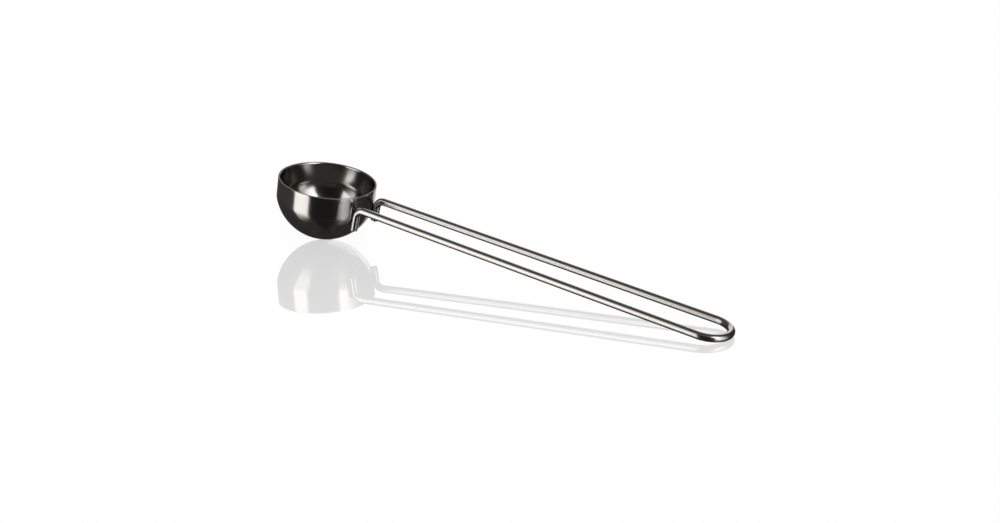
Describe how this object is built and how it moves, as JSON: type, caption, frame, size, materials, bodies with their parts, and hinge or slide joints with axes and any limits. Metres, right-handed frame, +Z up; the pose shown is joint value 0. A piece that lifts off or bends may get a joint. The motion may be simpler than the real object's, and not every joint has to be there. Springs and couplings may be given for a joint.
{
  "type": "coffee scoop",
  "caption": "Round-bottomed steel coffee scoop on a long loop handle bent from one wire, with both wire ends turned down and welded to the cup.",
  "frame": {"origin": "on the ground, below the middle of the whole outline, with the scoop lying at rest on the cup's round bottom and the tip of the loop", "axes": "+X from the cup towards the tip of the handle, +Y across the handle, +Z up"},
  "size_m": [0.2312, 0.046, 0.0305],
  "materials": {
    "cup_steel": "finely polished stainless steel",
    "wire_steel": "polished stainless steel wire"
  },
  "bodies": {
    "root": {"cup": "cup_steel", "handle": "wire_steel"}
  },
  "joints": []
}
